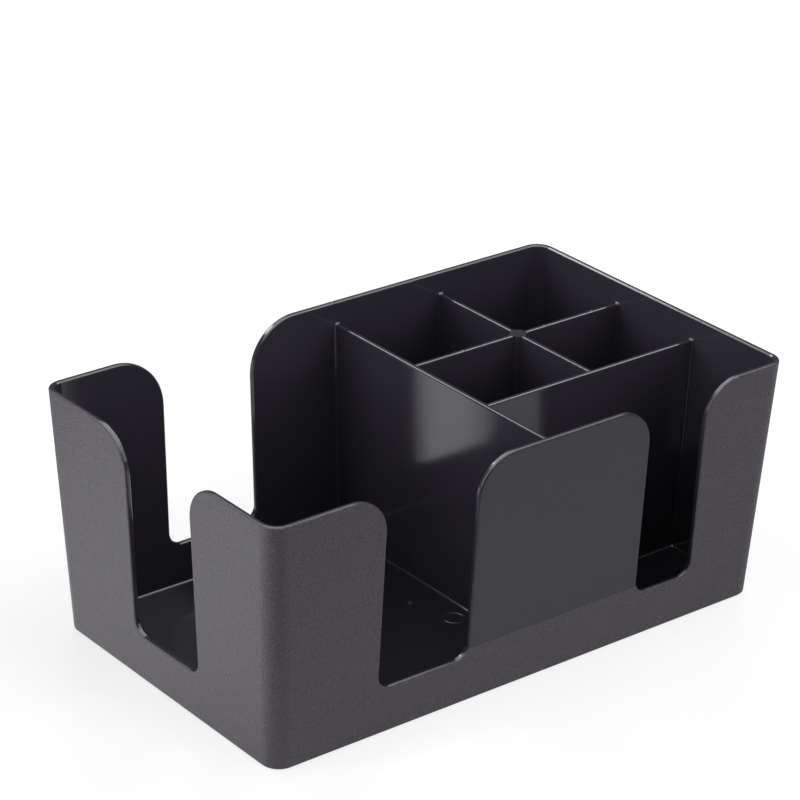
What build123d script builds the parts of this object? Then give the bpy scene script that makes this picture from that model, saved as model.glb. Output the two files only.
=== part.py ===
from build123d import *
from math import radians, tan
import os

# Bar-top caddy, moulded in one shot from black plastic: a drafted tub with a napkin bay at
# the left end, a long bay along the front and four square bays behind it. Four U-shaped
# cut-outs let fingers reach in. +X runs along the length, +Y to the back, +Z up, and the
# origin is the middle of the base. All lengths are in millimetres and angles in degrees.

# Driving dimensions of the tub
length = 241.0              # over the rim, along X
depth = 145.0               # over the rim, along Y
height = 100.0              # table to rim
wall = 2.3                  # thickness of the four walls
floor_thickness = 1.8       # plastic under the bays
draft = 3.0                 # outward lean of the four walls
corner_radius = 7.5         # outside, on the four upright corners
rim_round = 0.8             # outer edge of the rim and of the cut-outs
rim_bevel = 0.5             # inner edge of the rim and of the cut-outs
base_bevel = 0.7            # along the bottom edge
stand_height = 0.5          # how far the floor's underside is clear of the table
stand_width = 5.0           # ledge round the base that the caddy stands on

# Cut-outs in the walls
sill_height = 19.2          # bottom of every cut-out, above the table
sill_corner = 5.5           # radius of the two lower corners of a cut-out
napkin_cutout_width = 41.0
front_cutout_x = -49.5      # middle of the napkin cut-out in the front wall
back_cutout_x = -47.5       # middle of the napkin cut-out in the back wall
small_cutout_width = 27.5   # opens the front bay
end_cutout_width = 40.0     # in the left end
end_cutout_y = -2.0
front_shoulder = 16.0       # radius that leads from the rim down into a front cut-out
back_shoulder = 21.0
end_shoulder = 16.0

# Dividers, moulded between the walls
divider_drop = 9.0          # from the rim down to the top of every divider
divider_thickness = 2.2     # along its top edge
divider_draft = 0.25        # lean of each face of a divider
divider_round = 0.7         # along the top edges of the dividers
root_blend = 1.0            # inside radius where dividers, walls and floor meet
napkin_divider_x = 14.4     # middle of the divider between the napkin bay and the rest
partition_y = -22.2         # middle of the divider between the front bay and the cups
cross_x = 66.3              # where the two cup dividers cross
cross_y = 21.3
post_diameter = 7.0         # round ejector post at the crossing

# Worked out from the dimensions above
floor_top = stand_height + floor_thickness
divider_top = height - divider_drop
inner_corner = corner_radius - wall
lean = tan(radians(draft))
divider_lean = tan(radians(divider_draft))
blank_top = height + corner_radius      # walls are drawn this high, then trimmed to the rim
beyond = 2 * length                     # far outside the tub
strip = 2 * corner_radius               # how far in from the rim a cut-out's tool reaches
small_cutout_x = cross_x                # the front bay's cut-out lines up with the crossing
root = 1.5 * root_blend                 # stub of each divider that belongs to what carries it
tiny = 0.001


def wall_x(z, inset):
    """Half the length at height z, measured to a surface inset from the outside."""
    return length / 2 - (height - z) * lean - inset


def wall_y(z, inset):
    """Half the depth at height z, measured to a surface inset from the outside."""
    return depth / 2 - (height - z) * lean - inset


def half_divider(z):
    """Half the thickness of a divider at height z."""
    return divider_thickness / 2 + (divider_top - z) * divider_lean


def flat_face(points):
    return Face(Wire.make_polygon(points, close=True))


def leaning_block(bottom, top, sides):
    """Block with six flat faces; sides(z) gives its low x, high x, low y and high y at z."""
    rings = []
    for z in (bottom, top):
        low_x, high_x, low_y, high_y = sides(z)
        rings.append(
            [
                Vector(low_x, low_y, z),
                Vector(high_x, low_y, z),
                Vector(high_x, high_y, z),
                Vector(low_x, high_y, z),
            ]
        )
    low, high = rings
    faces = [flat_face(low), flat_face(high)]
    for here in range(4):
        after = (here + 1) % 4
        faces.append(flat_face([low[here], low[after], high[after], high[here]]))
    return Part() + Solid(Shell(faces))


def upright_edges(block):
    return [edge for edge in block.edges() if abs((edge @ 1 - edge @ 0).Z) > tiny]


def edges_at(block, z):
    return [
        edge
        for edge in block.edges()
        if abs((edge @ 0).Z - z) < tiny and abs((edge @ 1).Z - z) < tiny
    ]


def tub_block(bottom, top, inset, radius):
    """The tub's own form, with every side set in by inset and its corners rounded."""
    block = leaning_block(
        bottom,
        top,
        lambda z: (-wall_x(z, inset), wall_x(z, inset), -wall_y(z, inset), wall_y(z, inset)),
    )
    return fillet(upright_edges(block), radius) if radius else block


def bay(low_x, high_x, low_y, high_y):
    """Space between dividers, given by their middles. A side of None is open, far past the wall."""

    def sides(z):
        half = half_divider(z)
        return (
            -beyond if low_x is None else low_x + half,
            beyond if high_x is None else high_x - half,
            -beyond if low_y is None else low_y + half,
            beyond if high_y is None else high_y - half,
        )

    return leaning_block(-wall, blank_top, sides)


def make_grid():
    """The dividers and the post in one piece that runs on past the walls.

    The straight top edges are rounded, and the round pad on the post stays crisp.
    """
    post = Pos(cross_x, cross_y, 0) * Cylinder(
        post_diameter / 2, divider_top, align=(Align.CENTER, Align.CENTER, Align.MIN)
    )
    spaces = [
        bay(None, napkin_divider_x, None, None),
        bay(napkin_divider_x, None, None, partition_y),
    ]
    for low_x, high_x in ((napkin_divider_x, cross_x), (cross_x, None)):
        for low_y, high_y in ((partition_y, cross_y), (cross_y, None)):
            spaces.append(bay(low_x, high_x, low_y, high_y) - post)
    grid = box_between(-length, length, -length, length, 0, divider_top) - spaces
    straight = [edge for edge in edges_at(grid, divider_top) if edge.geom_type == GeomType.LINE]
    tops = [
        edge
        for edge in straight
        if max(abs((edge @ 0.5).X), abs((edge @ 0.5).Y)) < length - tiny
    ]
    return fillet(tops, min(divider_round, 0.4 * divider_thickness))


def rim_air(start, end, cutouts):
    """Side view of the air over one wall: above the rim, and down in each cut-out."""
    air = Pos((start + end) / 2, (height + blank_top) / 2) * Rectangle(
        end - start, blank_top - height
    )
    for centre, width, _ in cutouts:
        slot = Rectangle(width, blank_top - sill_height)
        air += Pos(centre, (sill_height + blank_top) / 2) * slot
    air = fillet([v for v in air.vertices() if abs(v.Y - sill_height) < tiny], sill_corner)
    for centre, width, shoulder in cutouts:
        mouth = [
            v
            for v in air.vertices()
            if abs(v.Y - height) < tiny and abs(abs(v.X - centre) - width / 2) < tiny
        ]
        air = fillet(mouth, shoulder)
    return air


def make_rim_trimmer():
    """The air above the rim and in the cut-outs, in one piece that stays clear of the dividers."""
    strip_x = length / 2 - strip
    strip_y = depth / 2 - strip
    front_cutouts = [
        (front_cutout_x, napkin_cutout_width, front_shoulder),
        (small_cutout_x, small_cutout_width, front_shoulder),
    ]
    back_cutouts = [(back_cutout_x, napkin_cutout_width, back_shoulder)]
    end_cutouts = [(end_cutout_y, end_cutout_width, end_shoulder)]
    front = Plane.XZ.offset(strip_y) * rim_air(-strip_x, length, front_cutouts)
    back = Plane.XZ.offset(-strip_y) * rim_air(-strip_x, length, back_cutouts)
    end = Plane.YZ.offset(-strip_x) * rim_air(-depth, depth, end_cutouts)
    trimmer = extrude(front, depth) + extrude(back, -depth) + extrude(end, -length)
    return trimmer + box_between(-strip_x, length, -strip_y, strip_y, height, blank_top)


def box_between(low_x, high_x, low_y, high_y, bottom, top):
    corner = (Align.MIN, Align.MIN, Align.MIN)
    size = Box(high_x - low_x, high_y - low_y, top - bottom, align=corner)
    return Pos(low_x, low_y, bottom) * size


def sharp_edges(part):
    """Edges where two faces meet at an angle, in place of running smoothly on."""
    owners = {}
    for face in part.faces():
        for edge in face.edges():
            owners.setdefault(edge, []).append(face)
    found = []
    for edge, faces in owners.items():
        middle = edge @ 0.5
        if len(faces) == 2 and faces[0].normal_at(middle).dot(faces[1].normal_at(middle)) < 0.9:
            found.append(edge)
    return found


def edges_on(part, *surfaces):
    """The sharp edges of a part that lie on all of these surfaces."""
    found = []
    for edge in sharp_edges(part):
        middle = Vertex(edge @ 0.5)
        if all(surface.distance_to(middle) < tiny for surface in surfaces):
            found.append(edge)
    return found


def finish_rim(moulding, outside, hollow, trimmer):
    """Rounds the outer edge of the rim and of the cut-outs, and bevels their inner edge."""
    outer = edges_on(moulding, outside.shell(), trimmer)
    moulding = fillet(outer, min(rim_round, 0.4 * wall))
    inner = edges_on(moulding, hollow.shell(), trimmer)
    return chamfer(inner, min(rim_bevel, 0.3 * wall))


def blend_inside(moulding, hollow):
    """Blends the inside edges, where the dividers, the walls and the floor meet."""
    inside = [edge for edge in edges_on(moulding, hollow.shell()) if (edge @ 0.5).Z < height]
    return fillet(inside, root_blend)


def make_moulding():
    """The whole caddy: a tub with its dividers, blended inside and then trimmed to its rim."""
    outside = tub_block(0, blank_top, 0, corner_radius)
    hollow = tub_block(floor_top, blank_top, wall, inner_corner)
    underside = RectangleRounded(
        2 * wall_x(0, stand_width), 2 * wall_y(0, stand_width), corner_radius
    )
    mid_floor = stand_height + floor_thickness / 2
    mid_wall = tub_block(mid_floor, blank_top, wall / 2, corner_radius - wall / 2)
    tub = chamfer(edges_at(outside, 0), base_bevel) - [extrude(underside, stand_height), hollow]
    moulding = blend_inside(tub + (make_grid() & mid_wall), hollow)
    trimmer = make_rim_trimmer()
    return finish_rim(moulding - trimmer, outside, hollow, trimmer)


def split_moulding(moulding):
    """Parts the caddy at its inside corners, a root's height away from what carries each divider."""
    far = length
    past_napkin = napkin_divider_x + half_divider(floor_top) + root
    past_partition = partition_y + half_divider(floor_top) + root
    half_post = post_diameter / 2 + root
    inside = tub_block(floor_top + root, blank_top, wall + root, inner_corner - root)

    def between(low_x, high_x, low_y, high_y):
        region = box_between(low_x, high_x, low_y, high_y, 0, blank_top)
        return moulding & inside & region

    return {
        "caddy_tub": moulding - inside,
        "napkin_divider": between(-far, past_napkin, -far, far),
        "front_bay_partition": between(past_napkin, far, -far, past_partition),
        "left_cup_divider": between(past_napkin, cross_x - half_post, past_partition, far),
        "right_cup_divider": between(cross_x + half_post, far, past_partition, far),
        "front_cup_divider": between(
            cross_x - half_post, cross_x + half_post, past_partition, cross_y - half_post
        ),
        "back_cup_divider": between(
            cross_x - half_post, cross_x + half_post, cross_y + half_post, far
        ),
        "crossing_post": between(
            cross_x - half_post, cross_x + half_post, cross_y - half_post, cross_y + half_post
        ),
    }


if __name__ == "__main__":
    os.makedirs("parts", exist_ok=True)
    for name, piece in split_moulding(make_moulding()).items():
        export_step(piece, f"parts/{name}.step")
        print(name, len(piece.solids()), round(piece.volume), piece.is_valid)
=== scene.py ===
"""Looks of a bar-top caddy that is moulded in one shot from black plastic.

The outside has a fine spark-eroded grain and the inside is polished, as the two halves of
its mould leave it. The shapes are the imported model's own; this script gives them their
finish, and sets up a white table, a soft-box studio and the camera. Lengths are in metres.
"""

import math

import bmesh
import bpy
from mathutils import Matrix, Vector


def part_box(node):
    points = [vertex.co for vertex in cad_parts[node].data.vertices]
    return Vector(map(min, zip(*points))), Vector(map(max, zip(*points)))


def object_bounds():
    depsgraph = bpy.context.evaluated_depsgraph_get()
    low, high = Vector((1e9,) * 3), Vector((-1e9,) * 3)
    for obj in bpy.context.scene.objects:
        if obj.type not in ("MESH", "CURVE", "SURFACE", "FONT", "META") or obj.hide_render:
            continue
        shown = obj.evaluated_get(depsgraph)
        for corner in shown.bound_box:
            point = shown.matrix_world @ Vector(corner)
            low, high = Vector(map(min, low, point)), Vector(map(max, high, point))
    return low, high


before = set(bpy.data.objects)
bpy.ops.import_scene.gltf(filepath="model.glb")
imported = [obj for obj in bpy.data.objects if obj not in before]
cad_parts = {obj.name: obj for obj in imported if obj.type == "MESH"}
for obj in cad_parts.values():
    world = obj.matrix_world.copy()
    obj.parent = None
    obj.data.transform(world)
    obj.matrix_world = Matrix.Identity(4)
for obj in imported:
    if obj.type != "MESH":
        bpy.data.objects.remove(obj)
cad_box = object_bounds()
post_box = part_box("crossing_post")

MM = 0.001

# Sizes of the moulding that its finish follows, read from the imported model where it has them
HALF_LENGTH = cad_box[1].x
HALF_DEPTH = cad_box[1].y
HEIGHT = cad_box[1].z
DIVIDER_TOP = post_box[1].z
CROSS_Y = (post_box[0].y + post_box[1].y) / 2       # middle of the cup dividers that run along X
DRAFT = math.radians(3.0)               # lean of the four walls
CORNER_RADIUS = 7.5 * MM                # outside, on the upright corners
FLOOR_TOP = 2.3 * MM

# Where the finishes change. From here on a pair is a soft edge: where something starts to
# show, or to fade, and where it is done.
OUTER_SKIN = (-0.5 * MM, -0.2 * MM)     # as depth_in_wall measures it
ABOVE_FLOOR = (FLOOR_TOP + 0.1 * MM, FLOOR_TOP + 0.6 * MM)
DIVIDER_CROWN = (DIVIDER_TOP - 1.0 * MM, DIVIDER_TOP - 0.8 * MM)
ABOVE_DIVIDERS = (DIVIDER_TOP, DIVIDER_TOP + 1.0 * MM)
BACK_WALL = (HALF_DEPTH - 8 * MM, HALF_DEPTH - 7 * MM)

# The panel in the middle of the front, smoother and darker than the rest
PANEL_FRONT = (40 * MM, 50 * MM)        # ahead of the caddy's middle
PANEL_LEFT = (-32 * MM, -31 * MM)
PANEL_RIGHT = (54 * MM, 55 * MM)
PANEL_BOTTOM = (22.4 * MM, 23.0 * MM)
PANEL_SMOOTHNESS = 0.8                  # share of the grain that the panel lacks

# Marks that the mould leaves: rings as middle x, middle y, radius and width of their line
FLOOR_PIN = (4.8 * MM, -18.9 * MM, 4.0 * MM, 0.4 * MM)
GATE = (-1.3 * MM, 0.7 * MM, 0.8 * MM, 0.6 * MM)
BLADE_MARKS = (38.7 * MM, 79.7 * MM, 104.5 * MM)    # along X, on the tops of the cup dividers
BLADE_WIDTH = (0.1 * MM, 0.4 * MM)      # to each side of a mark
BLADE_LENGTH = (1.2 * MM, 1.4 * MM)     # to each side of the divider's middle
INSERT_LINE = 13.0 * MM                 # along X, up the back wall from the napkin divider's top
INSERT_WIDTH = (0.1 * MM, 0.5 * MM)     # to each side of the line

# Patterns as lumps to the metre and levels of finer detail
GRAIN = (1400, 3)
CLOUDS = (25, 2)
WAVES = (45, 1)
STREAK_LUMPS = (900, 900, 20)           # drawn out along Z, the way that the mould opens
STREAK_DETAIL = 2

# Relief of the patterns and the marks, in millimetres
GRAIN_RELIEF = 0.40
WAVE_RELIEF = 0.05
STREAK_RELIEF = 0.008
MARK_RELIEF = 0.15

# Colours as a level, and the shares by which their red and their blue are above it
GRAIN_PITS = (0.023, 0.20, 0.36)
GRAIN_PEAKS = (0.048, 0.20, 0.36)
PITS_TO_PEAKS = (0.35, 0.65)
PANEL_COLOUR = (0.005, 0.40, 1.20)
INSIDE_PAINTED_SHADE_FLOOR = (0.017, 0.12, 0.36)        # at the floor, darkest end of a painted shade
INSIDE_PAINTED_SHADE_RIM = (0.036, 0.12, 0.36)       # at the rim, where the painted shade ends

# Roughness, and what the patterns add to it
SKIN_ROUGHNESS = 0.45
PANEL_POLISH = 0.05                     # less on the panel
INSIDE_ROUGHNESS = 0.07
STREAK_ROUGHNESS = 0.05
CLOUD_ROUGHNESS = 0.03
PLASTIC_IOR = 1.54

TABLE_HALF = 4.0
TABLE_COLOUR = 0.32
TABLE_ROUGHNESS = 0.25

# Three ways across the table as x and y, and how far along them its glow changes
TO_BACK_LEFT = (-0.63, 0.78)
TO_LENS = (-0.63, -0.78)
TO_BACK_RIGHT = (0.79, 0.62)
BACK_LEFT_EDGE = (-0.02, 0.12)
LENS_SIDE_EDGE = (0.14, 0.23)
LANE_EDGES = ((-0.008, -0.004), (0.014, 0.017))     # to the back right, as the next two are
SHADE_EDGE = (-0.03, -0.012)
SHADE_DEEPENS = (0.0, 0.01)
RIGHT_EDGE = (0.0, 0.20)                # along X
AWAY = (0.0, 0.10)                      # out from the caddy's sides

# What the table gives off to the lens and to glossy surfaces, where 1 is white; its losses, gains and
# shares are painted light and shade
LENS_GLOW = 0.765
LENS_PAINTED_SHADOW = 0.10                        # painted shadow close to the caddy at the back left
GLOSS_GLOW = 0.58
BACK_LEFT_GAIN = 0.68
LENS_SIDE_LOSS = 0.53
RIGHT_LOSS = 0.11
NEAR_PAINTED_SHADE_SHARE = 0.14                       # share of it that is lost close to the caddy, as a painted contact shade
SHADE_SHARE = 0.45                      # share that is lost in the painted shade, and again where it deepens

# The studio round the table: its plain light, and what glossy surfaces mirror of it
ROOM_LIGHT = 0.50
MIRRORED_LOW = 0.13
MIRRORED_GAIN = 3.6                     # more of it high up
HIGH_UP = (0.49, 0.80)                  # sine of the angle above the horizon

# Soft boxes as place, width, height and watts, all aimed at one point in the caddy
LIGHTS_AIM = Vector((0, 0, 0.05))
SOFT_BOXES = {
    "back_box": ((-0.3, 1.2, 1.1), 0.4, 0.4, 4),
    "right_box": ((1.1, -0.1, 1.3), 0.4, 0.4, 3),
    "left_box": ((-1.45, 0.45, 0.6), 1.2, 1.0, 10.5),
    "front_box": ((0.45, -1.45, 0.8), 1.0, 1.0, 6),
}

# The camera, fitted to the edges of the caddy in the photograph
EYE = Vector((-0.6923, -0.8593, 0.6073))
LOOKS_AT = Vector((0.0172, 0.0328, 0.0712))
ROLL = math.radians(1.25)
LENS = 146.4                            # focal length in millimetres
SENSOR = 36.0                           # width in millimetres
NEAREST = 0.01
FARTHEST = 50

# Numbers of the colour sockets of a Mix node
MIX_LOW = 6
MIX_HIGH = 7
MIX_RESULT = 2


class Value:
    """A number that a shader works out, with the usual arithmetic."""

    def __init__(self, shader, socket):
        self.shader = shader
        self.socket = socket

    def maths(self, operation, *values):
        return self.shader.node("Math", {"operation": operation}, *values)

    def __add__(self, other):
        return self.maths("ADD", self, other)

    def __radd__(self, other):
        return self.maths("ADD", other, self)

    def __sub__(self, other):
        return self.maths("SUBTRACT", self, other)

    def __rsub__(self, other):
        return self.maths("SUBTRACT", other, self)

    def __mul__(self, other):
        return self.maths("MULTIPLY", self, other)

    def __rmul__(self, other):
        return self.maths("MULTIPLY", other, self)

    def __truediv__(self, other):
        return self.maths("DIVIDE", self, other)

    def __abs__(self):
        return self.maths("ABSOLUTE", self)

    def at_least(self, other):
        return self.maths("MAXIMUM", self, other)

    def at_most(self, other):
        return self.maths("MINIMUM", self, other)

    def root(self):
        return self.maths("SQRT", self)

    def step(self, start, end):
        """0 below start and 1 above end, running smoothly from one to the other."""
        settings = {"interpolation_type": "SMOOTHSTEP"}
        limits = {"From Min": start, "From Max": end}
        return self.shader.node("MapRange", settings, self, sockets=limits)

    def between(self, first_edge, last_edge):
        """1 between two soft edges and 0 outside them."""
        return self.step(*first_edge) * (1 - self.step(*last_edge))

    def near(self, middle, inner, outer):
        """1 up to inner away from the middle, fading to 0 at outer."""
        return 1 - abs(self - middle).step(inner, outer)


class Shader:
    """The nodes of one material or of the world."""

    def __init__(self, owner):
        owner.use_nodes = True
        self.tree = owner.node_tree
        self.tree.nodes.clear()

    def give(self, socket, value):
        if isinstance(value, Value):
            self.tree.links.new(value.socket, socket)
        elif isinstance(value, bpy.types.NodeSocket):
            self.tree.links.new(value, socket)
        else:
            socket.default_value = value

    def add(self, kind, settings=None, *values, sockets=None):
        """A node of that kind: its settings first, then its inputs in order, by name or by number."""
        made = self.tree.nodes.new("ShaderNode" + kind)
        for name, setting in (settings or {}).items():
            setattr(made, name, setting)
        for place, value in enumerate(values):
            self.give(made.inputs[place], value)
        for name, value in (sockets or {}).items():
            self.give(made.inputs[name], value)
        return made

    def node(self, kind, settings=None, *values, sockets=None, output=0):
        """One output of such a node, to work on with."""
        return Value(self, self.add(kind, settings, *values, sockets=sockets).outputs[output])

    def noise(self, vector, scale, detail):
        sockets = {"Vector": vector, "Scale": scale, "Detail": detail}
        return self.node("TexNoise", None, sockets=sockets)

    def place(self):
        """The point being shaded, in the caddy's own frame, as a vector and as x, y and z."""
        vector = self.node("TexCoord", output="Object")
        parts = self.add("SeparateXYZ", None, vector)
        return (vector, *[Value(self, out) for out in parts.outputs])

    def rays(self):
        """1 for a ray from the lens, and 1 for a ray off a glossy surface or through a clear one."""
        path = self.add("LightPath")
        lens = Value(self, path.outputs["Is Camera Ray"])
        gloss = Value(self, path.outputs["Is Glossy Ray"])
        through = Value(self, path.outputs["Is Transmission Ray"])
        return lens, gloss.at_least(through)

    def mix_colour(self, share, low, high):
        sockets = {"Factor": share, MIX_LOW: low, MIX_HIGH: high}
        return self.node("Mix", {"data_type": "RGBA"}, sockets=sockets, output=MIX_RESULT)

    def finish(self, surface, kind="OutputMaterial"):
        self.add(kind, None, sockets={"Surface": surface.outputs[0]})


def grey(level, warm=0.0, cool=0.0):
    """A neutral grey, with a share more of red for warm and of blue for cool."""
    return (level * (1 + warm), level, level * (1 + cool), 1.0)


def depth_in_wall(x, y, z):
    """How far inside the tub's outer skin a point lies: 0 on the skin and negative inside it."""
    lean = math.tan(DRAFT)
    half_x = HALF_LENGTH - HEIGHT * lean - CORNER_RADIUS + z * lean
    half_y = HALF_DEPTH - HEIGHT * lean - CORNER_RADIUS + z * lean
    past_x = abs(x) - half_x
    past_y = abs(y) - half_y
    corner_x = past_x.at_least(0)
    corner_y = past_y.at_least(0)
    rounded = (corner_x * corner_x + corner_y * corner_y).root()
    return rounded + past_x.at_least(past_y).at_most(0) - CORNER_RADIUS


def panel_area(x, y, z):
    """1 on the front's panel and straight behind it, in the front bay, and 0 elsewhere."""
    return (0 - y).step(*PANEL_FRONT) * x.between(PANEL_LEFT, PANEL_RIGHT) * z.step(*PANEL_BOTTOM)


def ring(x, y, middle_x, middle_y, radius, width):
    """1 on a thin ring round a point of the floor, as a mould's pin leaves it."""
    past_x = x - middle_x
    past_y = y - middle_y
    return (past_x * past_x + past_y * past_y).root().near(radius, 0.0, width)


def blade_marks(x, y, z):
    """The fine lines that ejector blades leave across the tops of the cup dividers."""
    on_top = z.step(*DIVIDER_CROWN) * y.near(CROSS_Y, *BLADE_LENGTH)
    return sum(x.near(place, *BLADE_WIDTH) for place in BLADE_MARKS) * on_top


def insert_line(x, y, z):
    """The fine upright line on the back wall where two inserts of the mould meet."""
    return y.step(*BACK_WALL) * z.step(*ABOVE_DIVIDERS) * x.near(INSERT_LINE, *INSERT_WIDTH)


def moulded_plastic():
    """Black plastic: grained on the outer skin, polished inside, on the rim and in the bays."""
    material = bpy.data.materials.new("moulded_black")
    shader = Shader(material)
    point, x, y, z = shader.place()
    skin = depth_in_wall(x, y, z).step(*OUTER_SKIN)
    inner = 1 - skin
    panel = panel_area(x, y, z) * skin
    floor = 1 - z.step(*ABOVE_FLOOR)

    grain = shader.noise(point, *GRAIN)
    clouds = shader.noise(point, *CLOUDS)
    waves = shader.noise(point, *WAVES)
    drawn = shader.node("VectorMath", {"operation": "MULTIPLY"}, point, STREAK_LUMPS)
    streaks = shader.noise(drawn, 1, STREAK_DETAIL)

    marks = floor * (ring(x, y, *FLOOR_PIN) + ring(x, y, *GATE)) + blade_marks(x, y, z)
    marks = marks + insert_line(x, y, z) * inner
    relief = GRAIN_RELIEF * grain * (skin * (1 - PANEL_SMOOTHNESS * panel))
    relief = relief + inner * (WAVE_RELIEF * waves + STREAK_RELIEF * streaks)
    relief = relief + MARK_RELIEF * marks
    bump = shader.add("Bump", None, sockets={"Height": relief, "Distance": MM})

    peaks = grain.step(*PITS_TO_PEAKS)
    outside = shader.mix_colour(peaks, grey(*GRAIN_PITS), grey(*GRAIN_PEAKS))
    outside = shader.mix_colour(panel, outside, grey(*PANEL_COLOUR))
    # Painted shade: the inside's colour darkens from the rim down to the floor.
    inside = shader.mix_colour(z / HEIGHT, grey(*INSIDE_PAINTED_SHADE_FLOOR), grey(*INSIDE_PAINTED_SHADE_RIM))

    polished = INSIDE_ROUGHNESS + STREAK_ROUGHNESS * streaks
    grained = SKIN_ROUGHNESS - PANEL_POLISH * panel
    roughness = polished + skin * (grained - polished) + CLOUD_ROUGHNESS * clouds
    sockets = {
        "Base Color": shader.mix_colour(skin, inside, outside),
        "Roughness": roughness,
        "IOR": PLASTIC_IOR,
        "Normal": bump.outputs["Normal"],
    }
    shader.finish(shader.add("BsdfPrincipled", None, sockets=sockets))
    return material


def dress(plastic):
    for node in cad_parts.values():
        node.data.materials.clear()
        node.data.materials.append(plastic)


def along(x, y, way):
    """How far a point of the table lies from the caddy's middle, going that way."""
    return way[0] * x + way[1] * y


def table_glow(shader):
    """What the table gives off: white to the lens but for a painted shadow close to the caddy at the
    back left, and graded tones to gloss.

    The tones are painted light and shade that take the place of the cards and flags round a
    photographer's table. The caddy mirrors a bright back left, a dark lens side and a painted
    contact shade close round itself. A painted shade lies over the right part of the back left,
    with one bright lane in it, which shows as the glare in the napkin divider.
    """
    lens, gloss = shader.rays()
    _, x, y, _ = shader.place()
    back_left = along(x, y, TO_BACK_LEFT).step(*BACK_LEFT_EDGE)
    lens_side = along(x, y, TO_LENS).step(*LENS_SIDE_EDGE)
    right = x.step(*RIGHT_EDGE)
    across = along(x, y, TO_BACK_RIGHT)
    lane = across.between(*LANE_EDGES)
    deepness = SHADE_SHARE + SHADE_SHARE * across.step(*SHADE_DEEPENS)
    shade = back_left * across.step(*SHADE_EDGE) * deepness * (1 - lane)
    near = 1 - (abs(x) - HALF_LENGTH).at_least(abs(y) - HALF_DEPTH).step(*AWAY)

    # Painted shadow on the table, seen by the lens, close to the caddy at the back left.
    seen = LENS_GLOW - LENS_PAINTED_SHADOW * back_left * near
    mirrored = GLOSS_GLOW + BACK_LEFT_GAIN * back_left - LENS_SIDE_LOSS * lens_side - RIGHT_LOSS * right
    # Painted contact shade close round the caddy, and painted shade with its bright lane, in what gloss
    # mirrors.
    mirrored = mirrored * (1 - NEAR_PAINTED_SHADE_SHARE * near) * (1 - shade)
    return seen * lens + mirrored * gloss * (1 - lens)


def table_material():
    """White table top, which keeps a soft shadow, partly real and partly painted, and a faint
    reflection of what stands on it.
    """
    material = bpy.data.materials.new("white_table")
    shader = Shader(material)
    sockets = {
        "Base Color": grey(TABLE_COLOUR),
        "Roughness": TABLE_ROUGHNESS,
        "Emission Color": table_glow(shader),
        "Emission Strength": 1.0,
    }
    shader.finish(shader.add("BsdfPrincipled", None, sockets=sockets))
    return material


def make_table():
    mesh = bmesh.new()
    bmesh.ops.create_grid(mesh, x_segments=1, y_segments=1, size=TABLE_HALF)
    data = bpy.data.meshes.new("table")
    mesh.to_mesh(data)
    mesh.free()
    table = bpy.data.objects.new("table", data)
    bpy.context.scene.collection.objects.link(table)
    data.materials.append(table_material())


def make_surroundings():
    """White to the lens, plain light on rough surfaces, and dark to bright upwards in gloss."""
    world = bpy.data.worlds.new("studio")
    bpy.context.scene.world = world
    shader = Shader(world)
    lens, gloss = shader.rays()
    direction = shader.node("TexCoord", output="Generated")
    height = shader.node("SeparateXYZ", None, direction, output="Z")
    mirrored = MIRRORED_LOW + MIRRORED_GAIN * height.step(*HIGH_UP)
    strength = lens + (1 - lens) * (ROOM_LIGHT + gloss * (mirrored - ROOM_LIGHT))
    sockets = {"Color": grey(1.0), "Strength": strength}
    shader.finish(shader.add("Background", None, sockets=sockets), "OutputWorld")


def make_lights():
    for name, (place, width, height, watts) in SOFT_BOXES.items():
        lamp = bpy.data.lights.new(name, "AREA")
        lamp.shape = "RECTANGLE"
        lamp.size = width
        lamp.size_y = height
        lamp.energy = watts
        box = bpy.data.objects.new(name, lamp)
        box.location = place
        box.rotation_euler = (LIGHTS_AIM - Vector(place)).to_track_quat("-Z", "Y").to_euler()
        bpy.context.scene.collection.objects.link(box)


def make_camera():
    camera = bpy.data.cameras.new("camera")
    camera.lens = LENS
    camera.sensor_width = SENSOR
    camera.clip_start = NEAREST
    camera.clip_end = FARTHEST
    holder = bpy.data.objects.new("camera", camera)
    turn = (LOOKS_AT - EYE).to_track_quat("-Z", "Y").to_matrix() @ Matrix.Rotation(ROLL, 3, "Z")
    holder.matrix_world = Matrix.Translation(EYE) @ turn.to_4x4()
    bpy.context.scene.collection.objects.link(holder)
    bpy.context.scene.camera = holder


bpy.context.scene.view_settings.view_transform = "Standard"
make_camera()
make_surroundings()
make_lights()
make_table()
dress(moulded_plastic())
